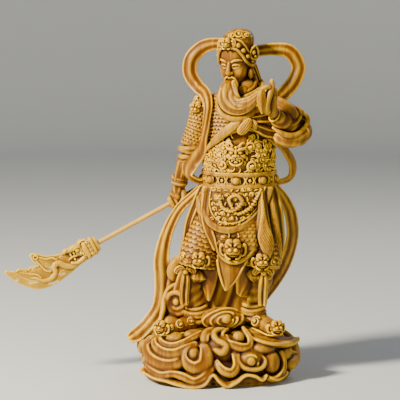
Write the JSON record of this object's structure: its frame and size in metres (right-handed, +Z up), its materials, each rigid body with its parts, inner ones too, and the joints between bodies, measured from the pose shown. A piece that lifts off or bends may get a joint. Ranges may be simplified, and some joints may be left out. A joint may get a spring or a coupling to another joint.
{
  "type": "carved warrior statue",
  "caption": "Boxwood figure of a bearded warrior in court armour standing on a curled cloud, holding a long-handled glaive low behind the body.",
  "frame": {"origin": "centre of the flat underside of the cloud", "axes": "+Z up, the front of the figure faces -Y, the glaive points to -X"},
  "size_m": [0.2625, 0.1081, 0.3003],
  "materials": {
    "boxwood": "oiled satin, darker in the recesses",
    "pale_wood": "smooth satin",
    "blade_wood": "oiled satin"
  },
  "bodies": {
    "root": {"figure_on_cloud": "boxwood", "glaive_shaft": "pale_wood", "glaive_blade": "blade_wood"}
  },
  "joints": []
}
